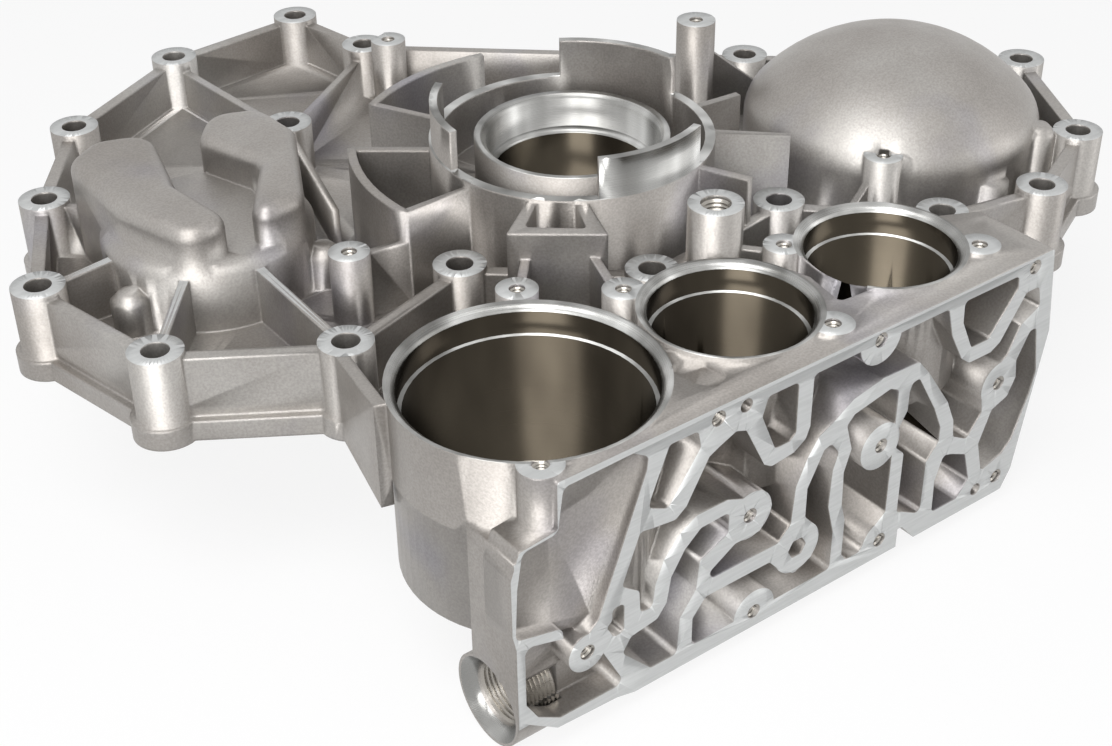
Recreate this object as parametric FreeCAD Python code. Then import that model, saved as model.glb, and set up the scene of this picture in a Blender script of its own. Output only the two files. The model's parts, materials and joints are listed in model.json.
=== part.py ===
"""End cover of a vehicle transmission: one aluminium die casting, machined on its seats.

All lengths are millimetres.  The origin lies on the axis of the bearing hub, in the plane of the
mating flange.  +Z points out of the gearbox, +X runs along the valve face, +Y away from it.
"""
import FreeCAD, Part
import math
import os

V = FreeCAD.Vector

# ---- driving sizes ------------------------------------------------------------------------------

# flange and cover
FLOOR_TOP = 11.0            # upper side of the cover's floor
FLOOR_WALL = 5.0            # thickness of that floor
RIM_TOP = 28.0              # upper edge of the rim that joins the bolt bosses
RIM_OUT = 3.0               # rim's outer side, outside the bolt line
RIM_IN = 1.5                # rim's inner side, inside the bolt line
FOOT_OUT = 6.0              # foot of the flange, outside the bolt line
FOOT_TOP = 7.0
SEAT_IN = 10.0              # inner edge of the machined seat, inside the bolt line
RIB = 3.0                   # thickness of a stiffening rib
BEND = math.radians(35)     # an outline that turns by less than this keeps a plain corner

# flange bolts, M8 clearance
BOLT_HOLE_R = 4.5
BOLT_BOSS_R = 8.8
BOLT_BOSS_TOP = 30.0
BOSS_FOOT = 2.0             # the foot of a bolt boss is wider by this

# cover screws, M6
SCREW_CORE_R = 2.6
SCREW_BOSS_R = 6.8
SCREW_DEPTH = 18.0
DECK_TOP = 36.0             # machined plane of the piston bores and screw bosses
DECK_CAST = 1.2             # the cast deck between them lies lower by this

# bearing hub
HUB_R = 49.5                # outer wall
HUB_WALL = 3.5
HUB_LOW_TOP = 46.0          # lower machined edge of the outer wall
HUB_HIGH_TOP = 60.0         # raised sectors
GROOVE_FLOOR = 27.0
RING_R = 34.0               # inner ring that holds the bearing
RING_TOP = 46.0
BEARING_R = 30.0
BEARING_DEPTH = 12.0
SHAFT_R = 27.5
SHAFT_DEPTH = 24.0
THROUGH_R = 22.0
HUB_FOOT = 10.0             # the hub's inner end stands past the flange by this
HUB_FOOT_R = 30.0
LIP = 1.8                   # chamfer at a machined mouth
OIL_HOLE_R = 2.4

# vanes around the hub
VANE_TOP = 45.0
VANE_R = 76.0
VANE = 3.0

# pump cover: a drum with two raised passages
DRUM_X, DRUM_Y = -119.0, 45.0
DRUM_R = 35.5
DRUM_TOP = 34.0
DRUM_WALL = 5.0
PASSAGE_TOP = 47.5
PASSAGE_ROUND = 5.0

# dome
DOME_X, DOME_Y = 126.0, -31.0
DOME_R = 54.5
DOME_SIDE_TOP = 27.0
DOME_TOP = 59.0
DOME_ROUND = 14.0
DOME_WALL = 5.0
LUMP_R = 6.5                # pads for ejector pins, and half the width of a dome rib
DOME_RIBS = [((123, -84), (128, -62), 22, 44)]      # foot, head and their heights

# valve block
FACE_Y = -143.5             # milled valve face
BLOCK_BOTTOM = -57.5
BLOCK_BACK = -108.0         # rear side of the block below the flange
BLOCK_LEFT = -84.0
BLOCK_RIGHT = 84.0
DECK_WALL = 6.0
TRACK_DEPTH = 22.0
TRACK_X0, TRACK_Z0 = -2.7, 2.7      # datum of the track pattern on the face
PANEL_DEPTH = 4.0
PANEL_EDGE = -98.0          # left of this the face is only a thin wall
PANEL_WALL = 4.0
POCKET_DEPTH = 9.0

# piston bores: x, y, radius of the mouth, depth
BORES = [(-92.0, -99.6, 38.4, 58.0), (-21.2, -106.9, 25.6, 44.0), (41.6, -108.3, 24.6, 40.0)]
BORE_LIP = 2.2              # chamfer at the mouth
BORE_LAND = 1.2             # rim left outside the chamfer
BORE_STEP = 1.4             # the bore narrows by this below its first length
BORE_STEP_DEPTH = 10.0
BORE_WALL = 4.0

# oil port on the block's end
PORT_X, PORT_Y, PORT_Z = -129.5, -127.8, -47.5
PORT_R = 10.0
PORT_MOUTH_R = 14.0
PORT_DEPTH = 20.0
END_TOP = 14.0              # upper side of the column over the port

# tall threaded boss beside the hub
STUD_X, STUD_Y = 3.4, -71.4
STUD_R = 9.2
STUD_TOP = 48.0
STUD_CORE_R = 5.1

# flange bolts in order round the joint
BOLTS = [(-5, 184), (-64, 178), (-122, 144.5), (-154, 98.5), (-179.5, 45.5), (-167, -12),
         (-119, -43), (-66, -26.5), (-19, -67), (44, -58.5), (82, -98), (122.5, -106.5),
         (165, -87), (197, -32.5), (115, 38), (2, 141)]
INNER_BOLT = (-58, 98)
SCREWS = [(-66.2, -58.5), (-40.4, -78.9), (-114.1, -135.3), (17.2, -89.3), (66.2, -127.9),
          (-3.5, -132.9), (4.9, 126.8), (-95.2, -6.9), (86.7, -65.2)]
TALL_SCREW = (88.0, 37.0, 52.0)


# ---- helpers ------------------------------------------------------------------------------------

def vec(p, z=0.0):
    """Plan point to vector."""
    return V(p[0], p[1], z)


def rounded_wire(points, radius):
    """Closed wire through the points; each corner sharper than BEND becomes a tangent arc."""
    n = len(points)
    pts = [V(p[0], p[1], 0) for p in points]
    cut = []
    for i in range(n):
        a, b, c = pts[i - 1], pts[i], pts[(i + 1) % n]
        d1 = a.sub(b)
        d2 = c.sub(b)
        half = d1.getAngle(d2) / 2
        want = radius / max(math.tan(half), 0.05)
        take = min(want, 0.45 * d1.Length, 0.45 * d2.Length)
        d1.normalize()
        d2.normalize()
        start = b.add(V(d1).multiply(take))
        end = b.add(V(d2).multiply(take))
        bis = d1.add(d2)
        if math.pi - 2 * half < BEND:
            cut.append((b, b, b))
            continue
        bis.normalize()
        r = take * math.tan(half)
        mid = b.add(V(bis).multiply(r / math.sin(half) - r))
        cut.append((start, mid, end))
    edges = []
    for i in range(n):
        s, m, e = cut[i]
        if s.sub(e).Length > 0.02:
            edges.append(Part.Arc(s, m, e).toShape())
        nxt = cut[(i + 1) % n][0]
        if e.sub(nxt).Length > 0.02:
            edges.append(Part.LineSegment(e, nxt).toShape())
    return Part.Wire(edges)


def plan(points, z0, z1, radius=0.0):
    """Prism over a plan outline, from z0 to z1."""
    if radius > 0:
        wire = rounded_wire(points, radius)
    else:
        wire = Part.makePolygon([vec(p) for p in points] + [vec(points[0])])
    wire.translate(V(0, 0, z0))
    return Part.Face(wire).extrude(V(0, 0, z1 - z0))


def front(points, depth, radius=1.8, outside=1.0):
    """Prism over an outline on the valve face, cut from the face inwards."""
    wire = rounded_wire([(x + TRACK_X0, z + TRACK_Z0) for x, z in points], radius)
    wire.rotate(V(0, 0, 0), V(1, 0, 0), 90)
    wire.translate(V(0, FACE_Y - outside, 0))
    return Part.Face(wire).extrude(V(0, depth + outside, 0))


def post(x, y, r, z0, z1):
    """Upright cylinder: a boss, or the tool of a drilled hole."""
    return Part.makeCylinder(r, z1 - z0, V(x, y, z0))


def rib(p, q, z0, zp, zq=None, t=RIB):
    """Upright rib from p to q; its top runs from zp to zq."""
    zq = zp if zq is None else zq
    a, b = vec(p), vec(q)
    d = b.sub(a)
    length = d.Length
    d.normalize()
    n = V(-d.y, d.x, 0).multiply(t / 2)
    side = Part.makePolygon([a.add(V(0, 0, z0)), b.add(V(0, 0, z0)), b.add(V(0, 0, zq)),
                             a.add(V(0, 0, zp)), a.add(V(0, 0, z0))])
    side.translate(V(n).multiply(-1))
    return Part.Face(side).extrude(V(n).multiply(2))


def polar(r, deg, cx=0.0, cy=0.0):
    a = math.radians(deg)
    return (cx + r * math.cos(a), cy + r * math.sin(a))


def sector(r_in, r_out, a0, a1, z0, z1):
    """Part of a ring between two angles."""
    mid = (a0 + a1) / 2
    outer = Part.Arc(vec(polar(r_out, a0)), vec(polar(r_out, mid)), vec(polar(r_out, a1))).toShape()
    inner = Part.Arc(vec(polar(r_in, a1)), vec(polar(r_in, mid)), vec(polar(r_in, a0))).toShape()
    e1 = Part.LineSegment(vec(polar(r_out, a1)), vec(polar(r_in, a1))).toShape()
    e2 = Part.LineSegment(vec(polar(r_in, a0)), vec(polar(r_out, a0))).toShape()
    wire = Part.Wire([outer, e1, inner, e2])
    wire.translate(V(0, 0, z0))
    return Part.Face(wire).extrude(V(0, 0, z1 - z0))


def revolved(profile, x, y):
    """Solid of revolution about the vertical through (x, y); profile is a list of edges in XZ."""
    wire = Part.Wire(profile)
    body = Part.Face(wire).revolve(V(0, 0, 0), V(0, 0, 1), 360)
    body.translate(V(x, y, 0))
    return body


def ring_line(distance):
    """The bolt line of the flange, moved outwards by a distance."""
    wire = Part.makePolygon([vec(p) for p in BOLTS] + [vec(BOLTS[0])])
    return wire.makeOffset2D(distance, 0, False, False)


def line_prism(distance, z0, z1):
    wire = ring_line(distance)
    wire.translate(V(0, 0, z0))
    return Part.Face(wire).extrude(V(0, 0, z1 - z0))


# ---- the cover inside the flange ----------------------------------------------------------------

def cover():
    """Floor, rim, foot and bolt bosses."""
    solids = [line_prism(RIM_OUT, 0, FLOOR_TOP), line_prism(FOOT_OUT, 0, FOOT_TOP)]
    rim = line_prism(RIM_OUT, 0, RIM_TOP).cut(line_prism(-RIM_IN, -1, RIM_TOP + 1))
    solids.append(rim)
    for x, y in BOLTS:
        solids.append(post(x, y, BOLT_BOSS_R, 0, BOLT_BOSS_TOP))
        solids.append(post(x, y, BOLT_BOSS_R + BOSS_FOOT, 0, FOOT_TOP))
    x, y = INNER_BOLT
    solids.append(post(x, y, BOLT_BOSS_R, FLOOR_TOP - 2, BOLT_BOSS_TOP))
    for target in [(-64, 178), (2, 141), (-76, 35)]:
        solids.append(rib(INNER_BOLT, target, FLOOR_TOP - 2, RIM_TOP - 2))
    return solids


def dome_profile():
    """Half section of the dome: upright side, rolled shoulder and flat crown, all tangent."""
    run = DOME_R - DOME_ROUND
    rise = DOME_TOP - DOME_SIDE_TOP
    crown = (run ** 2 + rise ** 2 - DOME_ROUND ** 2) / (2 * (rise - DOME_ROUND))
    centre = DOME_TOP - crown                    # height of the crown's centre on the axis
    lean = math.atan2(run, DOME_SIDE_TOP - centre)
    foot = V(DOME_R, 0, 0)
    side = V(DOME_R, 0, DOME_SIDE_TOP)
    half = (math.pi / 2 - lean) / 2
    shoulder = V(run + DOME_ROUND * math.cos(half), 0, DOME_SIDE_TOP + DOME_ROUND * math.sin(half))
    join = V(crown * math.sin(lean), 0, centre + crown * math.cos(lean))
    over = V(crown * math.sin(lean / 2), 0, centre + crown * math.cos(lean / 2))
    top = V(0, 0, centre + crown)
    base = V(0, 0, 0)
    return [Part.LineSegment(base, foot).toShape(), Part.LineSegment(foot, side).toShape(),
            Part.Arc(side, shoulder, join).toShape(), Part.Arc(join, over, top).toShape(),
            Part.LineSegment(top, base).toShape()]


def dome():
    solids = [revolved(dome_profile(), DOME_X, DOME_Y)]
    solids.append(lump((84, -38), 27))
    solids.append(lump((154, -78), 29))
    for p, q, low, high in DOME_RIBS:
        solids.append(rib(p, q, 1, low, high, 2 * LUMP_R))
        solids.append(post(p[0], p[1], LUMP_R, 1, low))
    return solids


def lump(p, top):
    """Cast pad with a sloped crown, for an ejector pin."""
    return post(p[0], p[1], LUMP_R, 1, top).fuse(
        Part.makeCone(LUMP_R, LUMP_R / 2, LUMP_R / 2, V(p[0], p[1], top)))


def dome_hollow():
    """Space in the dome, with its shoulder cut at a slant."""
    r = DOME_R - DOME_WALL
    top = DOME_TOP - DOME_WALL
    slant = DOME_ROUND + DOME_WALL
    points = [(0, -1), (r, -1), (r, DOME_SIDE_TOP), (r - slant / 2, top - slant / 3), (0, top)]
    ends = points[1:] + points[:1]
    edges = [Part.LineSegment(V(a[0], 0, a[1]), V(b[0], 0, b[1])).toShape()
             for a, b in zip(points, ends)]
    return revolved(edges, DOME_X, DOME_Y)


# ---- pump cover ---------------------------------------------------------------------------------

PASSAGE_LEFT = [(-148, 88), (-134, 97), (-115, 90), (-126, 50), (-122, 18), (-140, 15), (-149, 46)]
PASSAGE_RIGHT = [(-105, 76), (-93, 91), (-75, 84), (-74, 62), (-97, 16), (-119, 14), (-96, 48)]


def passage(points):
    """Raised oil passage with a rolled upper edge."""
    body = plan(points, 2, PASSAGE_TOP, 2 * PASSAGE_ROUND)
    edges = [e for e in body.Edges if e.BoundBox.ZMin > PASSAGE_TOP - 0.01]
    return body.makeFillet(PASSAGE_ROUND, edges)


def drum():
    r, top = DRUM_R, DRUM_TOP
    roll = 3.0
    place = V(DRUM_X, DRUM_Y, top - roll)
    solids = [post(DRUM_X, DRUM_Y, r, 1, top - roll), Part.makeCone(r, r - roll, roll, place),
              passage(PASSAGE_LEFT), passage(PASSAGE_RIGHT)]
    inner = DRUM_R - 4
    for i in (5, 6, 4, 3):
        d = math.atan2(BOLTS[i][1] - DRUM_Y, BOLTS[i][0] - DRUM_X)
        start = (DRUM_X + inner * math.cos(d), DRUM_Y + inner * math.sin(d))
        solids.append(rib(start, BOLTS[i], 2, DRUM_TOP - 3, RIM_TOP))
    for a in (200, 318):
        solids.append(lump(polar(DRUM_R + 3, a, DRUM_X, DRUM_Y), 22))
    return solids


def drum_hollow():
    return post(DRUM_X, DRUM_Y, DRUM_R - DRUM_WALL, -1, DRUM_TOP - DRUM_WALL)


# ---- bearing hub --------------------------------------------------------------------------------

RAISED = [(243, 294), (129, 177), (3, 58)]        # sectors of the outer wall that stand higher


def hub():
    solids = [post(0, 0, HUB_R, 0, HUB_LOW_TOP), post(0, 0, HUB_FOOT_R, -HUB_FOOT, FLOOR_TOP)]
    for a0, a1 in RAISED:
        solids.append(sector(HUB_R - HUB_WALL, HUB_R - 0.8, a0, a1, GROOVE_FLOOR, HUB_HIGH_TOP))
    return solids


def hub_cuts():
    groove = post(0, 0, HUB_R - HUB_WALL, GROOVE_FLOOR, HUB_HIGH_TOP + 1)
    groove = groove.cut(post(0, 0, RING_R, GROOVE_FLOOR - 1, RING_TOP))
    z = RING_TOP
    cuts = [groove,
            post(0, 0, BEARING_R, z - BEARING_DEPTH, z + 1),
            Part.makeCone(BEARING_R, BEARING_R + LIP + 0.5, LIP + 0.5, V(0, 0, z - LIP)),
            post(0, 0, SHAFT_R, z - BEARING_DEPTH - SHAFT_DEPTH, z),
            Part.makeCone(SHAFT_R, SHAFT_R + LIP, LIP, V(0, 0, z - BEARING_DEPTH - LIP)),
            post(0, 0, THROUGH_R, -HUB_FOOT - 1, z)]
    for a, drop in [(128, 18), (165, 26)]:
        drill = Part.makeCylinder(OIL_HOLE_R, RING_R + 1, V(0, 0, z - drop), V(1, 0, 0))
        drill.rotate(V(0, 0, 0), V(0, 0, 1), a)
        cuts.append(drill)
    return cuts


def vanes():
    """Walls and radial ribs round the hub."""
    z0, top = FLOOR_TOP - 2, VANE_TOP
    half = VANE / 2
    solids = [sector(VANE_R - half, VANE_R + half, 79, 123, z0, top),
              sector(VANE_R - half, VANE_R + half, 149, 188, z0, top)]
    for a in (122.5, 149.5, 187.5):
        solids.append(rib(polar(HUB_R - 2, a), polar(VANE_R, a), z0, top - 2, top, VANE))
    # box in front of the hub
    box = [(-58, -42), (-33, -62), (-24, -38), (-38, -27)]
    pit = [(-51, -42), (-36, -55), (-29, -40), (-39, -32)]
    solids.append(plan(box, z0, top).cut(plan(pit, z0 - 1, top + 1, 1.5)))
    # right-hand ribs
    for p, q, zq in [((19, -44), (27, -62), top), ((38, -26), (59, -47), top),
                     ((46, -9), (67, -11), top)]:
        solids.append(rib(p, q, z0, top, zq, VANE))
    return solids


# ---- valve block --------------------------------------------------------------------------------

# outline of the milled face, in the track pattern's own coordinates
FACE_OUTLINE = [(-112, 32.1), (-112, 16), (-125, 14.6), (-128, 6), (-128, -14), (-126.5, -21),
                (-126, -48), (-113, -57.5), (-91, -58.5), (-84, -60.2), (78, -60.2), (82, -53),
                (91, 0), (87, 32.1)]

# wells of the worm tracks
TRACKS = [
    [(-73, 27), (-62.5, 27), (-61.3, 21), (-73, 4.5), (-80, 8), (-79.5, 11)],
    [(-83, 1), (-78, 0), (-70, -1), (-66, 2), (-58, 16), (-54, 18), (-48, 20.5), (-44, 19),
     (-36, 3), (-33, 1), (-24, 2), (-19.5, 5), (-18, 9), (-18, 27.5), (39, 28), (42, 17), (48, 6),
     (52, 2.8), (62, 2.8), (66, 5), (76, 20), (82, 20), (84, 12), (76, 8), (71, -2), (68, -4),
     (62, -7), (60.5, -12), (62, -21), (56, -29), (49, -25), (48, -18), (44, -9), (33, 7),
     (28, 13), (12, 13.5), (0, 11), (-8, 6), (-14, 3), (-18, -3), (-22, -12), (-23, -26),
     (-28, -31), (-55, -31), (-56, -28), (-46, -22), (-36, -22), (-31.5, -14), (-36, -6),
     (-44, -6), (-50, -3.5), (-62, -3.5), (-68, -7), (-74, -14), (-77, -22), (-78, -30),
     (-82.5, -29.5), (-83, -21), (-89.5, -16)],
    [(-36, 27.5), (-24, 27.5), (-23.7, 9), (-26, 7), (-32, 7), (-38, 21)],
    [(46, 28), (71, 28), (71.5, 23), (60, 8.5), (52, 8.5), (46.5, 20)],
    [(-93, -22.5), (-88.5, -22.5), (-88.5, -33.5), (-92.5, -33.5), (-95, -28.5), (-93, -27)],
    [(-60, -9), (-49, -8.5), (-49, -16.5), (-60, -21.5), (-61, -32), (-67, -40), (-68, -54),
     (-78, -54), (-89, -42), (-86, -37), (-76, -35.5), (-72.5, -31), (-71, -22), (-66, -14)],
    [(-62, -54), (-62, -43), (-57, -37), (-31, -37), (-26, -43), (-20, -47), (-13, -44),
     (-10.5, -38), (-12, -32), (-17, -26), (-17, -15), (-11, -3), (-8, -2), (-4.5, -7),
     (-6.5, -13), (-7, -27), (-4, -38), (-4, -53.5)],
    [(-2, 2), (1, 5), (16, 8), (20, 6), (20, -22), (20, -42), (15, -46), (9, -53.5),
     (3, -53.5), (1, -50), (1, -36), (-1, -29), (-1.5, -16), (1, -8)],
    [(25, 3), (26, 6), (29, 6.5), (38, -9), (42, -18), (42, -24), (37, -30), (37, -51),
     (28, -46), (25.5, -45), (25.5, -21), (21.5, -17), (21.5, -10), (25, -4)],
    [(45.5, -31), (49, -32), (56.5, -35.5), (60, -47.5), (55, -53.5), (43, -53.5),
     (42.5, -40)],
    [(76, -6), (81, 3.5), (84, 3.5), (87.5, -15), (86, -23), (80, -40), (76, -44), (66, -47),
     (62.5, -34), (67, -22), (74, -19.5), (77, -13)],
]
# bosses that stand in the wells: x, z, radius
TRACK_BOSSES = [(9.5, 28.5, 8.5), (14, -13, 8.5), (68.5, -12, 8.2), (-40.5, -14, 8.6),
                (-19.5, -37, 9.2), (-36.5, -54, 8.4), (18.5, -53, 8.0)]
# tapped holes in the face: x, z
FACE_SCREWS = [(-55, 28), (9.5, 28.5), (78.5, 28.5), (68.5, -12), (74.5, -53), (18.5, -53),
               (14.5, -13), (-40.5, -14), (-36.5, -54), (-102, -34)]
FACE_PINS = [(-44.5, 28), (64.5, -54)]
FACE_SCREW_DEPTH = 14.0
FACE_PIN_R = 2.3
CHECK_VALVE = (-19.5, -37, 3.8)

PANEL = [(-110, 29.5), (-86, 30), (-80.5, 26.5), (-81, 22), (-98, -24), (-101, -27),
         (-110, -30), (-111, -20), (-127, -16), (-126, 2), (-124, 14), (-112, 15)]
POCKET = [(-124, -20), (-104, -26), (-96, -38), (-88, -54), (-112, -54), (-120, -49),
          (-124, -42)]


def block():
    """Valve face slab, deck, piston bore walls and the end with the oil port."""
    face = front(FACE_OUTLINE, TRACK_DEPTH + 6, 1.0, 0.0)
    thin = Part.makeBox(60, 60, 200, V(PANEL_EDGE - 60, FACE_Y + POCKET_DEPTH + PANEL_WALL, -100))
    solids = [face.cut(thin)]
    front_deck = [(-112, FACE_Y), (BLOCK_RIGHT, FACE_Y), (BLOCK_RIGHT, -112), (60, -100),
                  (-93, -104), (-112, -118)]
    solids.append(plan(front_deck, DECK_TOP - DECK_WALL, DECK_TOP - DECK_CAST))
    for x, y, r, depth in BORES:
        solids.append(post(x, y, r + BORE_LIP + BORE_LAND, 9, DECK_TOP))
        solids.append(post(x, y, r - BORE_STEP + BORE_WALL, DECK_TOP - depth - 5, DECK_TOP))
    # floor between the flange and the bores
    web = [(-119, -43), (-66, -26.5), (-19, -67), (44, -58.5), (82, -98), (BLOCK_RIGHT, -112),
           (BLOCK_RIGHT, FACE_Y + 3), (-93, FACE_Y + 3), (-128, -112)]
    solids.append(plan(web, 0, FLOOR_TOP - 3))
    rear = [(BLOCK_LEFT, BLOCK_BACK - 10), (BLOCK_RIGHT - 6, BLOCK_BACK - 10),
            (BLOCK_RIGHT - 6, -95), (BLOCK_LEFT, -95)]
    solids.append(plan(rear, -8, FLOOR_TOP))
    # wall from the flange to the first bore
    x, y, r, depth = BORES[0]
    solids.append(rib((-124, -48), (x - r - 3, y + 14), 0, BOLT_BOSS_TOP, DECK_TOP, 4))
    # end of the block with its oil port
    end = [(PORT_X, FACE_Y), (-104, FACE_Y), (-104, -112), (PORT_X + 7, -112), (PORT_X, -121)]
    solids.append(plan(end, PORT_Z, END_TOP))
    solids.append(Part.makeCylinder(PORT_MOUTH_R + 1.0, 24, V(PORT_X, PORT_Y, PORT_Z), V(1, 0, 0)))
    return solids


def tracks():
    """Everything that is sunk into the milled face."""
    wells = [front(points, TRACK_DEPTH) for points in TRACKS]
    keep = []
    for x, z, r in TRACK_BOSSES:
        keep.append(Part.makeCylinder(r, TRACK_DEPTH + 4, V(x + TRACK_X0, FACE_Y, z + TRACK_Z0),
                                      V(0, 1, 0)))
    for x, y, r, depth in BORES:
        keep.append(post(x, y, r - BORE_STEP + BORE_WALL, DECK_TOP - depth - 5, DECK_TOP))
    cut = wells[0].multiFuse(wells[1:])
    cut = cut.cut(keep[0].multiFuse(keep[1:]))
    panel = front(PANEL, PANEL_DEPTH, 2.5)
    pocket = front(POCKET, POCKET_DEPTH, 2.5)
    x, z = FACE_SCREWS[-1]
    lug = Part.makeCylinder(6.8, 30, V(x + TRACK_X0, FACE_Y - 2, z + TRACK_Z0), V(0, 1, 0))
    return [cut, panel.cut(lug), pocket.cut(lug)]


def face_holes():
    cuts = []
    for x, z in FACE_SCREWS:
        cuts.append(face_drill(x, z, SCREW_CORE_R, FACE_SCREW_DEPTH))
    for x, z in FACE_PINS:
        cuts.append(face_drill(x, z, FACE_PIN_R, FACE_SCREW_DEPTH - 4))
    x, z, r = CHECK_VALVE
    corners = [(x + r * math.cos(k * math.pi / 3), z + r * math.sin(k * math.pi / 3))
               for k in range(6)]
    cuts.append(front(corners, TRACK_DEPTH - 2, 0.8))
    # notch in the lower edge of the face
    cuts.append(front([(27, -64), (27, -52.8), (29, -52.8), (36, -61), (36, -64)],
                      TRACK_DEPTH + 8, 0.3))
    return cuts


def face_drill(x, z, r, depth):
    place = V(x + TRACK_X0, FACE_Y - 1, z + TRACK_Z0)
    return Part.makeCylinder(r, depth + 1, place, V(0, 1, 0))


def bore_cuts():
    cuts = []
    for x, y, r, depth in BORES:
        cuts.append(post(x, y, r, DECK_TOP - BORE_STEP_DEPTH, DECK_TOP + 1))
        cuts.append(Part.makeCone(r, r + BORE_LIP + 0.5, BORE_LIP + 0.5,
                                  V(x, y, DECK_TOP - BORE_LIP)))
        low = r - BORE_STEP
        cuts.append(post(x, y, low, DECK_TOP - depth, DECK_TOP))
    return cuts


def deck_cuts():
    """Cast pockets between the bores."""
    deep = [(7, -92), (16, -98), (17, -112), (21, -125), (8, -124), (11, -108)]
    shallow = [(-57, -121), (-51, -119), (-46, -124), (-45, -133), (-52, -136), (-56, -130)]
    return [plan(deep, DECK_TOP - 22, DECK_TOP + 1, 2.0), plan(shallow, DECK_TOP - 3, DECK_TOP + 1, 2.0)]


def port_cuts():
    mouth = Part.makeCone(PORT_MOUTH_R, PORT_R, 3.5, V(PORT_X - 0.01, PORT_Y, PORT_Z), V(1, 0, 0))
    return [mouth, Part.makeCylinder(PORT_R, PORT_DEPTH, V(PORT_X, PORT_Y, PORT_Z), V(1, 0, 0))]


# ---- screw bosses -------------------------------------------------------------------------------

def screw_bosses():
    solids = []
    for x, y in SCREWS:
        solids.append(post(x, y, SCREW_BOSS_R, 2, DECK_TOP))
    x, y, top = TALL_SCREW
    solids.append(post(x, y, SCREW_BOSS_R + 0.6, 2, top))
    solids.append(rib((x, y), (110, 25), 2, top - 8, RIM_TOP - 4))
    solids.append(post(STUD_X, STUD_Y, STUD_R, 2, STUD_TOP))
    solids.append(rib((STUD_X, STUD_Y), SCREWS[3], 2, DECK_TOP - 3))
    solids.append(rib(SCREWS[8], (DOME_X, DOME_Y), 2, DECK_TOP - 4, DECK_TOP))
    solids.append(rib((-66.2, -58.5), (-50, -42), 2, DECK_TOP - 5, VANE_TOP - 8))
    solids.append(rib((-40.4, -78.9), (-36, -58), 2, DECK_TOP - 5, VANE_TOP - 8))
    solids.append(rib((-95.2, -6.9), (-74, -10), 2, DECK_TOP - 2, DECK_TOP - 2))
    return solids


def screw_holes():
    cuts = []
    for x, y in SCREWS:
        cuts.append(post(x, y, SCREW_CORE_R, DECK_TOP - SCREW_DEPTH, DECK_TOP + 1))
    x, y, top = TALL_SCREW
    cuts.append(post(x, y, SCREW_CORE_R, top - SCREW_DEPTH, top + 1))
    cuts.append(post(STUD_X, STUD_Y, STUD_CORE_R, STUD_TOP - 24, STUD_TOP + 1))
    for x, y in BOLTS + [INNER_BOLT]:
        cuts.append(post(x, y, BOLT_HOLE_R, -1, BOLT_BOSS_TOP + 1))
        cuts.append(post(x, y, BOLT_BOSS_R + 0.6, BOLT_BOSS_TOP, DECK_TOP + 20))
    return cuts


# ---- the underside ------------------------------------------------------------------------------

def under_cut():
    """Space inside the machined seat, under the floor."""
    space = line_prism(-SEAT_IN, -1, FLOOR_TOP - FLOOR_WALL)
    for x, y, r in [(0, 0, HUB_FOOT_R), (INNER_BOLT[0], INNER_BOLT[1], BOLT_BOSS_R)]:
        space = space.cut(post(x, y, r, -2, FLOOR_TOP))
    return space


def housing():
    solids = cover() + dome() + drum() + hub() + vanes() + block() + screw_bosses()
    body = solids[0].multiFuse(solids[1:])
    cuts = hub_cuts() + tracks() + face_holes() + bore_cuts() + port_cuts() + screw_holes()
    cuts += [under_cut(), dome_hollow(), drum_hollow()] + deck_cuts()
    body = body.cut(cuts[0].multiFuse(cuts[1:]))
    return body


def main():
    os.makedirs("parts", exist_ok=True)
    body = housing()
    solids = sorted(body.Solids, key=lambda s: s.Volume)
    print("solids", len(solids), [round(s.Volume / 1000, 1) for s in solids][-5:], body.isValid())
    solids[-1].exportStep("parts/housing.step")


main()
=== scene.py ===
"""Looks of the transmission cover: cast, milled and turned aluminium, with its threads."""
import json
import math

import bmesh
import bpy
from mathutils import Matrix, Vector


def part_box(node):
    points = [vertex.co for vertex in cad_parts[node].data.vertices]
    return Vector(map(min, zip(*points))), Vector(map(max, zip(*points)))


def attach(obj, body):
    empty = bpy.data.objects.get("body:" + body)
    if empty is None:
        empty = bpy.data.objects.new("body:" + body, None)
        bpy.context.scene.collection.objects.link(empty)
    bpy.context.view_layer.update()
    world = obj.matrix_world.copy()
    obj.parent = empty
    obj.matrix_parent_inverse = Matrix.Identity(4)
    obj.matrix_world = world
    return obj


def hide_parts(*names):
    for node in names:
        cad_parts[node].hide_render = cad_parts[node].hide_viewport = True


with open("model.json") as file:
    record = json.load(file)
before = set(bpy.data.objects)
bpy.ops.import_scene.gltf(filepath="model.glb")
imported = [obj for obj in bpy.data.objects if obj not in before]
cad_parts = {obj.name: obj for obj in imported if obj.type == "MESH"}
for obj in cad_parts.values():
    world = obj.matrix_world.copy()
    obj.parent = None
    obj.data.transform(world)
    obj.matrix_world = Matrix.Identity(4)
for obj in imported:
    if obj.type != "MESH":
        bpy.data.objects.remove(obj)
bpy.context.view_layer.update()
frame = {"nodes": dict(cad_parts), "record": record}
housing = frame["nodes"]["housing"]
record = frame["record"]
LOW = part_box("housing")[0]
MM = 0.001

# ---- places of the machined features ------------------------------------------------------------

openings = {o["name"]: o["box_m"] for o in record["physics"]["openings"]}
mounts = {m["name"]: m for m in record["mounts"]}


def middle(name):
    """Plan centre of an opening's box."""
    lo, hi = openings[name]
    return ((lo[0] + hi[0]) / 2, (lo[1] + hi[1]) / 2)


FACE_Y = LOW.y                          # milled valve face
SEAT_Z = 0.0                            # machined seat of the flange
HUB_END_Z = -10 * MM                    # inner end of the hub
DECK_TOP = 36 * MM                      # machined plane of bores and screw bosses
BOSS_TOPS = [30 * MM, 48 * MM, 52 * MM]

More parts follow.
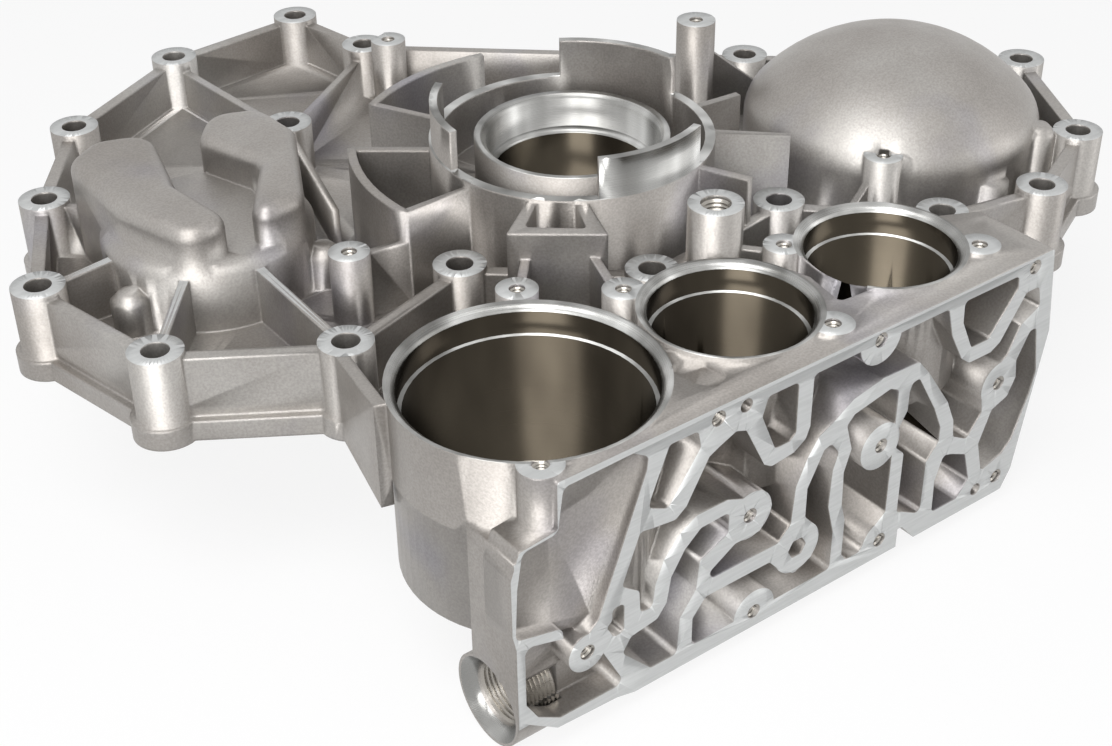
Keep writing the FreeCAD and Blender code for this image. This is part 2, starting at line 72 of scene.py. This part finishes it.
# piston bores: plan centre and radius
BORES = [(middle("piston_bore_1"), 38.4 * MM), (middle("piston_bore_2"), 25.6 * MM),
         (middle("piston_bore_3"), 24.6 * MM)]
BORE_LIP = 2.2 * MM                     # chamfer at the mouth
BORE_LAND = 1.2 * MM                    # rim outside the chamfer
BORE_END = -25 * MM                     # below every bore floor
BORE_STEP_LOW = 20 * MM                 # the steps lie above this and the floors below it

# bearing hub
BEARING_R = mounts["bearing_bore"]["dims"]["r_mm"] * MM
BEARING_DEPTH = 12 * MM
SEAT_REACH = 3 * MM                     # rim of the bearing seat, outside its wall
HUB_R = 49.5 * MM
HUB_WALL = 4.5 * MM
HUB_TOP = 46 * MM
HUB_CREST = 60 * MM
TURNED_SECTOR = (242, 295)              # raised sector whose outer side is turned, degrees

# oil port
PORT = Vector((-129.5, -127.8, -47.5)) * MM
PORT_R = 10 * MM
PORT_MOUTH = 2.2 * PORT_R               # the mouth's chamfer lies within this of the port
PORT_MOUTH_DEPTH = 3.2 * MM

# dome
DOME = (126 * MM, -31 * MM)
DOME_SOFT_R = 50 * MM                   # inside this and above DOME_SOFT_Z the dome has no edge
DOME_SOFT_Z = 38 * MM
HOLLOW_CORNER = (39.95 * MM, 47.67 * MM)    # radius and height at which the hollow comes through
HOLLOW_CORNER_SUNK = 41.5 * MM          # height at which the crown keeps its wall
HOLLOW_CORNER_NEAR = 0.3 * MM

# tapped holes, mm
DECK_SCREWS = [(-66.2, -58.5), (-40.4, -78.9), (-114.1, -135.3), (17.2, -89.3), (66.2, -127.9),
               (-3.5, -132.9), (4.9, 126.8), (-95.2, -6.9), (86.7, -65.2)]
TALL_SCREW = (88.0, 37.0, 52.0)
FACE_SCREWS = [(-57.7, 30.7), (6.8, 31.2), (75.8, 31.2), (65.8, -9.3), (71.8, -50.3),
               (15.8, -50.3), (11.8, -10.3), (-43.2, -11.3), (-39.2, -51.3), (-104.7, -31.3)]
STUD = (3.4, -71.4, 48.0)

# threads: radius at the root, pitch, length
SCREW_THREAD = (2.6 * MM, 1.0 * MM, 14 * MM)
FACE_THREAD = (2.6 * MM, 1.0 * MM, 11 * MM)
STUD_THREAD = (5.1 * MM, 1.5 * MM, 20 * MM)
PORT_THREAD = (PORT_R, 1.5 * MM, 15 * MM)
THREAD_CREST = 0.55                     # height of a ridge, in pitches
THREAD_INSET = 0.02 * MM                # roots stand off the hole's wall by this
THREAD_START = 0.4 * MM                 # first ridge, below the mouth
THREAD_SIDES = 28
PORT_SIDES = 48

# curved webs, mm: foot and head in plan, heights at the head and the foot, power of the curve
WEBS = [((52, -60.0), (84, -64.7), 33.0, 8.0, 2.4), ((108, 37.8), (91, 37.1), 47.0, 12.0, 2.6)]
WEB = 3.4                               # thickness
WEB_BASE = 2.0
WEB_STEPS = 16

# stage, metres, degrees and watts
FLOOR_HALF = 3.0
FLOOR_GAP = 0.0005
FLOOR_WHITE = 0.85                      # share of the floor's white that no shadow dims
LAMPS = [("top_softbox", (-0.5, -0.3, 0.95), (0.7, 0.6), 7),
         ("left_softbox", (-0.9, -0.75, 0.45), (0.7, 0.6), 8),
         ("right_strip", (0.9, -0.8, 0.3), (0.5, 0.7), 2.5)]
CAMERA_PLACE = (-0.33952, -0.44752, 0.32600)
CAMERA_TURN = (55.897, 0.704, -36.977)
CAMERA_LENS = 58.27
CAMERA_SENSOR = 36


# ---- materials ----------------------------------------------------------------------------------

def material(name, color, metallic, roughness):
    """New material with a Principled shader; returns it with its node tree and shader."""
    mat = bpy.data.materials.new(name)
    mat.use_nodes = True
    shader = mat.node_tree.nodes["Principled BSDF"]
    shader.inputs["Base Color"].default_value = (*color, 1)
    shader.inputs["Metallic"].default_value = metallic
    shader.inputs["Roughness"].default_value = roughness
    return mat, mat.node_tree, shader


def noise(tree, scale, detail, stretch=None):
    """Noise texture on object coordinates, in features per metre."""
    coords = tree.nodes.new("ShaderNodeTexCoord")
    tex = tree.nodes.new("ShaderNodeTexNoise")
    tex.inputs["Scale"].default_value = scale
    tex.inputs["Detail"].default_value = detail
    source = coords.outputs["Object"]
    if stretch:
        mapping = tree.nodes.new("ShaderNodeMapping")
        mapping.inputs["Scale"].default_value = stretch
        tree.links.new(source, mapping.inputs["Vector"])
        source = mapping.outputs["Vector"]
    tree.links.new(source, tex.inputs["Vector"])
    return tex.outputs["Fac"]


def ramp(tree, value, stops):
    """Colour ramp; stops are (position, colour)."""
    node = tree.nodes.new("ShaderNodeValToRGB")
    points = node.color_ramp.elements
    points[0].position, points[0].color = stops[0][0], (*stops[0][1], 1)
    points[1].position, points[1].color = stops[-1][0], (*stops[-1][1], 1)
    for position, color in stops[1:-1]:
        points.new(position).color = (*color, 1)
    tree.links.new(value, node.inputs["Fac"])
    return node.outputs["Color"]


def scaled(tree, value, low, high):
    """Maps a noise value to low..high."""
    node = tree.nodes.new("ShaderNodeMapRange")
    node.inputs["From Min"].default_value = 0.3
    node.inputs["From Max"].default_value = 0.7
    node.inputs["To Min"].default_value = low
    node.inputs["To Max"].default_value = high
    tree.links.new(value, node.inputs["Value"])
    return node.outputs["Result"]


def mixed(tree, a, b, factor, blend="MIX"):
    """Mixes two colours; each input is a number, a colour or a socket."""
    node = tree.nodes.new("ShaderNodeMix")
    node.data_type = "RGBA"
    node.blend_type = blend
    for socket, value in (("Factor", factor), ("A", a), ("B", b)):
        target = [s for s in node.inputs if s.name == socket and s.enabled][0]
        if isinstance(value, (int, float)):
            target.default_value = value
        elif isinstance(value, tuple):
            target.default_value = (*value, 1)
        else:
            tree.links.new(value, target)
    return [s for s in node.outputs if s.enabled][0]


def bump(tree, shader, height, strength, distance, radius=None):
    """Bump from a height; radius also rounds the edges of the shading."""
    node = tree.nodes.new("ShaderNodeBump")
    node.inputs["Strength"].default_value = strength
    node.inputs["Distance"].default_value = distance
    tree.links.new(height, node.inputs["Height"])
    if radius:
        bevel = tree.nodes.new("ShaderNodeBevel")
        bevel.samples = 6
        bevel.inputs["Radius"].default_value = radius
        tree.links.new(bevel.outputs["Normal"], node.inputs["Normal"])
    tree.links.new(node.outputs["Normal"], shader.inputs["Normal"])


def turned_shine(tree, shader, amount):
    """Stretches the shine across circular tool marks on walls that stand round a Z axis."""
    place = tree.nodes.new("ShaderNodeNewGeometry")
    across = tree.nodes.new("ShaderNodeVectorMath")
    across.operation = "CROSS_PRODUCT"
    across.inputs[0].default_value = (0.0, 0.0, 1.0)
    tree.links.new(place.outputs["Normal"], across.inputs[1])
    kept = tree.nodes.new("ShaderNodeVectorMath")
    kept.operation = "ADD"
    kept.inputs[1].default_value = (0.01, 0.0, 0.0)
    tree.links.new(across.outputs["Vector"], kept.inputs[0])
    tree.links.new(kept.outputs["Vector"], shader.inputs["Tangent"])
    shader.inputs["Anisotropic"].default_value = amount


def cast_metal():
    """As-cast aluminium: fine blasted grain, warm and cool clouds, soft edges."""
    mat, tree, shader = material("cast", (0.42, 0.40, 0.38), 0.85, 0.42)
    clouds = ramp(tree, noise(tree, 16, 4), [(0.3, (0.275, 0.255, 0.235)),
                                             (0.5, (0.345, 0.325, 0.305)),
                                             (0.72, (0.425, 0.41, 0.39))])
    stains = ramp(tree, noise(tree, 24, 2), [(0.55, (1, 1, 1)), (0.75, (0.86, 0.87, 0.97))])
    grain = noise(tree, 1300, 3)
    color = mixed(tree, clouds, stains, 1.0, "MULTIPLY")
    speck = ramp(tree, grain, [(0.35, (0.9, 0.9, 0.9)), (0.65, (1.08, 1.08, 1.08))])
    tree.links.new(mixed(tree, color, speck, 1.0, "MULTIPLY"), shader.inputs["Base Color"])
    tree.links.new(scaled(tree, noise(tree, 60, 3), 0.38, 0.52), shader.inputs["Roughness"])
    bump(tree, shader, grain, 0.35, 0.00015, 1.2 * MM)
    return mat


def milled_metal():
    """Face-milled aluminium: pale, even, with faint tool lines."""
    mat, tree, shader = material("milled", (0.5, 0.505, 0.5), 0.45, 0.45)
    lines = noise(tree, 500, 2, (0.15, 1.0, 2.4))
    shade = ramp(tree, lines, [(0.3, (0.47, 0.478, 0.473)), (0.7, (0.535, 0.543, 0.538))])
    tree.links.new(shade, shader.inputs["Base Color"])
    bump(tree, shader, lines, 0.06, 0.00004)
    return mat


def turned_metal():
    """Freshly turned aluminium: bright, with circular tool marks and painted reflection streaks."""
    mat, tree, shader = material("turned", (0.45, 0.45, 0.43), 1.0, 0.28)
    # painted reflection: light and dark bands along Z in the base colour stand in for streaks of
    # reflected light
    painted_reflection_streaks = ramp(tree, noise(tree, 60, 2, (1, 1, 0.04)), [(0.32, (0.17, 0.168, 0.16)),
                                                            (0.5, (0.33, 0.328, 0.318)),
                                                            (0.7, (0.62, 0.62, 0.605))])
    tree.links.new(painted_reflection_streaks, shader.inputs["Base Color"])
    lines = noise(tree, 30, 2, (0.03, 0.03, 160))
    tree.links.new(scaled(tree, lines, 0.22, 0.36), shader.inputs["Roughness"])
    turned_shine(tree, shader, 0.7)
    bump(tree, shader, lines, 0.1, 0.00003)
    return mat


def bore_metal():
    """Honed bore wall, slightly brown from oil, with a very dark base colour that paints the shade
    inside the bores.
    """
    mat, tree, shader = material("bore", (0.16, 0.14, 0.11), 1.0, 0.2)
    # painted shade: the very dark base colour stands in for the shade inside the bores; the brown
    # tint is oil, with faint streaks along Z
    oil_tint_and_painted_shade = ramp(tree, noise(tree, 26, 3, (1, 1, 0.35)),
                [(0.35, (0.024, 0.02, 0.015)), (0.65, (0.06, 0.051, 0.038))])
    tree.links.new(oil_tint_and_painted_shade, shader.inputs["Base Color"])
    lines = noise(tree, 24, 2, (0.03, 0.03, 220))
    tree.links.new(scaled(tree, lines, 0.16, 0.28), shader.inputs["Roughness"])
    turned_shine(tree, shader, 0.3)
    bump(tree, shader, lines, 0.08, 0.00002)
    return mat


def drilled_metal():
    """Drilled hole wall and thread flanks."""
    mat, tree, shader = material("drilled", (0.36, 0.34, 0.31), 1.0, 0.3)
    lines = noise(tree, 40, 2, (1, 1, 60))
    tree.links.new(scaled(tree, lines, 0.22, 0.4), shader.inputs["Roughness"])
    return mat


# ---- the casting --------------------------------------------------------------------------------

CAST, MILLED, TURNED, BORE, DRILLED = range(5)
NEAR = 0.12 * MM
SQUARE = 0.99                           # part of a normal along an axis, on a face square to it
STANDING = 0.1                          # most that a normal rises on a standing wall
CHAMFER = (0.3, 0.9)                    # rise of the normal on a bore's chamfer
PORT_CHAMFER = (0.3, 0.95)
OUTWARD = 0.9
SMOOTH_BELOW = math.radians(26)
WELD = 2e-5
SLIVER = 1e-5


def near(a, b, within=NEAR):
    return abs(a - b) < within


def bore_finish(centre, normal, d, r):
    """Finish of a facet at distance d from the axis of a bore of radius r, or None."""
    up = normal.z > SQUARE
    if near(centre.z, DECK_TOP - BORE_LIP / 2, BORE_LIP) and CHAMFER[0] < normal.z < CHAMFER[1]:
        return TURNED
    if up and near(centre.z, DECK_TOP):
        return TURNED
    if d < r + NEAR and abs(normal.z) < STANDING:
        return BORE
    if d < r + NEAR and up:
        return TURNED if centre.z > BORE_STEP_LOW else DRILLED
    return None


def hub_finish(centre, normal, d):
    """Finish of a facet at distance d from the hub's axis, or None."""
    up = normal.z > SQUARE
    if up and (near(centre.z, HUB_TOP) or near(centre.z, HUB_CREST)):
        return TURNED
    if d < BEARING_R + SEAT_REACH:
        below_seat = centre.z < HUB_TOP - BEARING_DEPTH - NEAR
        if below_seat and abs(normal.z) < STANDING:
            return BORE
        if abs(normal.z) < OUTWARD or up:
            return TURNED
    angle = math.degrees(math.atan2(centre.y, centre.x)) % 360
    outwards = normal.x * centre.x + normal.y * centre.y > OUTWARD * d
    turned = TURNED_SECTOR[0] < angle < TURNED_SECTOR[1] and d > HUB_R - HUB_WALL
    if turned and outwards and centre.z > HUB_TOP:
        return TURNED
    return None


def finish_of(centre, normal):
    """Which finish a facet of the casting has, from where it is and where it faces."""
    if normal.y < -SQUARE and near(centre.y, FACE_Y):
        return MILLED
    if normal.z < -SQUARE and (near(centre.z, SEAT_Z) or near(centre.z, HUB_END_Z)):
        return MILLED
    for (x, y), r in BORES:
        d = math.hypot(centre.x - x, centre.y - y)
        if d < r + BORE_LIP + BORE_LAND and centre.z > BORE_END:
            finish = bore_finish(centre, normal, d, r)
            if finish is not None:
                return finish
    d = math.hypot(centre.x, centre.y)
    if d < HUB_R + NEAR:
        finish = hub_finish(centre, normal, d)
        if finish is not None:
            return finish
    if normal.z > SQUARE and any(near(centre.z, z) for z in [DECK_TOP] + BOSS_TOPS):
        return MILLED
    if (centre - PORT).length < PORT_MOUTH and PORT_CHAMFER[0] < -normal.x < PORT_CHAMFER[1]:
        return TURNED
    return CAST


def from_dome(spot):
    """Distance from the dome's axis."""
    return math.hypot(spot.x - DOME[0], spot.y - DOME[1])


def placed(name, mesh):
    """New object in the scene with this mesh."""
    piece = bpy.data.objects.new(name, mesh)
    bpy.context.scene.collection.objects.link(piece)
    return piece


def casting():
    """The CAD casting with welded, smoothed facets and a finish for every machined face."""
    mesh = housing.data.copy()
    mesh.name = "casting"
    bm = bmesh.new()
    bm.from_mesh(mesh)
    bmesh.ops.remove_doubles(bm, verts=bm.verts, dist=WELD)
    bmesh.ops.dissolve_degenerate(bm, edges=bm.edges, dist=SLIVER)
    for v in bm.verts:
        level = near(v.co.z, HOLLOW_CORNER[1], HOLLOW_CORNER_NEAR)
        if level and near(from_dome(v.co), HOLLOW_CORNER[0], HOLLOW_CORNER_NEAR):
            v.co.z = HOLLOW_CORNER_SUNK
    bm.to_mesh(mesh)
    bm.free()
    mesh.materials.clear()
    for make in (cast_metal, milled_metal, turned_metal, bore_metal, drilled_metal):
        mesh.materials.append(make())
    for p in mesh.polygons:
        p.material_index = finish_of(p.center, p.normal)
    mesh.shade_smooth()
    mesh.set_sharp_from_angle(angle=SMOOTH_BELOW)
    for edge in mesh.edges:
        a, b = (mesh.vertices[i].co for i in edge.vertices)
        spot = (a + b) / 2
        if spot.z > DOME_SOFT_Z and from_dome(spot) < DOME_SOFT_R:
            edge.use_edge_sharp = False
    piece = placed("casting", mesh)
    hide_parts("housing")
    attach(piece, "root")
    return piece


# ---- curved webs --------------------------------------------------------------------------------

SMALL_SMOOTH_BELOW = math.radians(30)   # for webs and threads


def webs(metal):
    """Thin webs that sweep down from two screw bosses to the flange."""
    bm = bmesh.new()
    for foot, head, head_z, foot_z, hollow in WEBS:
        a, b = Vector(foot), Vector(head)
        side = Vector((-(b - a).y, (b - a).x)).normalized() * WEB / 2
        rows = []
        for k in range(WEB_STEPS + 1):
            t = k / WEB_STEPS
            p = a.lerp(b, t)
            top = foot_z + (head_z - foot_z) * t ** hollow
            corners = ((p - side, WEB_BASE), (p - side, top), (p + side, top), (p + side, WEB_BASE))
            rows.append([bm.verts.new(Vector((q.x, q.y, z)) * MM) for q, z in corners])
        for r, s in zip(rows, rows[1:]):
            for i in range(4):
                bm.faces.new((r[i], r[i - 1], s[i - 1], s[i]))
        bm.faces.new(rows[0])
        bm.faces.new(rows[-1][::-1])
    bmesh.ops.recalc_face_normals(bm, faces=bm.faces)
    mesh = bpy.data.meshes.new("webs")
    bm.to_mesh(mesh)
    bm.free()
    mesh.materials.append(metal)
    mesh.shade_smooth()
    mesh.set_sharp_from_angle(angle=SMALL_SMOOTH_BELOW)
    piece = placed("webs", mesh)
    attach(piece, "root")


# ---- threads ------------------------------------------------------------------------------------

def add_thread(bm, top, axis, size, sides=THREAD_SIDES):
    """Ridges of a tapped hole: rings that alternate between root and crest."""
    root, pitch, length = size
    turn = axis.to_track_quat("Z", "Y")
    rings = []
    crest = root - THREAD_CREST * pitch
    for k in range(int(2 * length / pitch)):
        r = root - THREAD_INSET if k % 2 == 0 else crest
        offset = -k * pitch / 2 - THREAD_START
        ring = []
        for i in range(sides):
            a = 2 * math.pi * i / sides
            lift = offset - pitch * i / sides
            spot = Vector((r * math.cos(a), r * math.sin(a), lift))
            ring.append(bm.verts.new(top + turn @ spot))
        rings.append(ring)
    for a, b in zip(rings, rings[1:]):
        for i in range(sides - 1):
            bm.faces.new((a[i], a[i + 1], b[i + 1], b[i]))


def threads():
    """Threads of the cover screws, the valve body's screws, the stud's boss and the oil port."""
    bm = bmesh.new()
    up = Vector((0, 0, 1))
    for x, y in DECK_SCREWS:
        add_thread(bm, Vector((x * MM, y * MM, DECK_TOP)), up, SCREW_THREAD)
    add_thread(bm, Vector(TALL_SCREW) * MM, up, SCREW_THREAD)
    add_thread(bm, Vector(STUD) * MM, up, STUD_THREAD)
    for x, z in FACE_SCREWS:
        add_thread(bm, Vector((x * MM, FACE_Y, z * MM)), Vector((0, -1, 0)), FACE_THREAD)
    mouth = PORT + Vector((PORT_MOUTH_DEPTH, 0, 0))
    add_thread(bm, mouth, Vector((-1, 0, 0)), PORT_THREAD, PORT_SIDES)
    mesh = bpy.data.meshes.new("threads")
    bm.to_mesh(mesh)
    bm.free()
    mesh.materials.append(drilled_metal())
    mesh.shade_smooth()
    mesh.set_sharp_from_angle(angle=SMALL_SMOOTH_BELOW)
    piece = placed("threads", mesh)
    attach(piece, "root")


# ---- stage --------------------------------------------------------------------------------------

def seen_rays(tree):
    """1 for camera, glossy and transmission rays, which see the pale surroundings."""
    path = tree.nodes.new("ShaderNodeLightPath")
    total = path.outputs["Is Camera Ray"]
    for name in ("Is Glossy Ray", "Is Transmission Ray"):
        node = tree.nodes.new("ShaderNodeMath")
        node.operation = "MAXIMUM"
        tree.links.new(total, node.inputs[0])
        tree.links.new(path.outputs[name], node.inputs[1])
        total = node.outputs["Value"]
    return total


def floor():
    """White floor that keeps only a faint shadow."""
    mesh = bpy.data.meshes.new("floor")
    s, z = FLOOR_HALF, LOW.z - FLOOR_GAP
    mesh.from_pydata([(-s, -s, z), (s, -s, z), (s, s, z), (-s, s, z)], [], [(0, 1, 2, 3)])
    mat, tree, shader = material("floor", (0.9, 0.9, 0.9), 0.0, 0.9)
    glow = tree.nodes.new("ShaderNodeEmission")
    glow.inputs["Color"].default_value = (1, 1, 1, 1)
    share = tree.nodes.new("ShaderNodeMath")
    share.operation = "MULTIPLY"
    share.inputs[1].default_value = FLOOR_WHITE
    tree.links.new(seen_rays(tree), share.inputs[0])
    mix = tree.nodes.new("ShaderNodeMixShader")
    tree.links.new(share.outputs["Value"], mix.inputs["Fac"])
    tree.links.new(shader.outputs["BSDF"], mix.inputs[1])
    tree.links.new(glow.outputs["Emission"], mix.inputs[2])
    tree.links.new(mix.outputs["Shader"], tree.nodes["Material Output"].inputs["Surface"])
    mesh.materials.append(mat)
    piece = placed("floor", mesh)


def lamp(name, place, size, power):
    """Rectangular lamp that looks at the hub."""
    data = bpy.data.lights.new(name, "AREA")
    data.shape = "RECTANGLE"
    data.size, data.size_y = size
    data.energy = power
    light = bpy.data.objects.new(name, data)
    light.location = place
    light.rotation_euler = (-Vector(place)).to_track_quat("-Z", "Y").to_euler()
    bpy.context.scene.collection.objects.link(light)


def lights():
    """White surroundings, dimmer where they light the casting, and three lamps."""
    world = bpy.data.worlds.new("studio")
    world.use_nodes = True
    tree = world.node_tree
    back = tree.nodes["Background"]
    back.inputs["Strength"].default_value = 1.0
    color = mixed(tree, (0.3, 0.3, 0.31), (1.0, 1.0, 1.0), seen_rays(tree))
    tree.links.new(color, back.inputs["Color"])
    bpy.context.scene.world = world
    for name, place, size, power in LAMPS:
        lamp(name, place, size, power)


def camera():
    data = bpy.data.cameras.new("camera")
    data.sensor_width = CAMERA_SENSOR
    data.lens = CAMERA_LENS
    cam = bpy.data.objects.new("camera", data)
    cam.location = CAMERA_PLACE
    cam.rotation_euler = [math.radians(a) for a in CAMERA_TURN]
    bpy.context.scene.collection.objects.link(cam)
    bpy.context.scene.camera = cam


# ---- all of it ----------------------------------------------------------------------------------

body = casting()
webs(body.data.materials[CAST])
threads()
floor()
lights()
camera()
bpy.context.scene.view_settings.view_transform = "Standard"
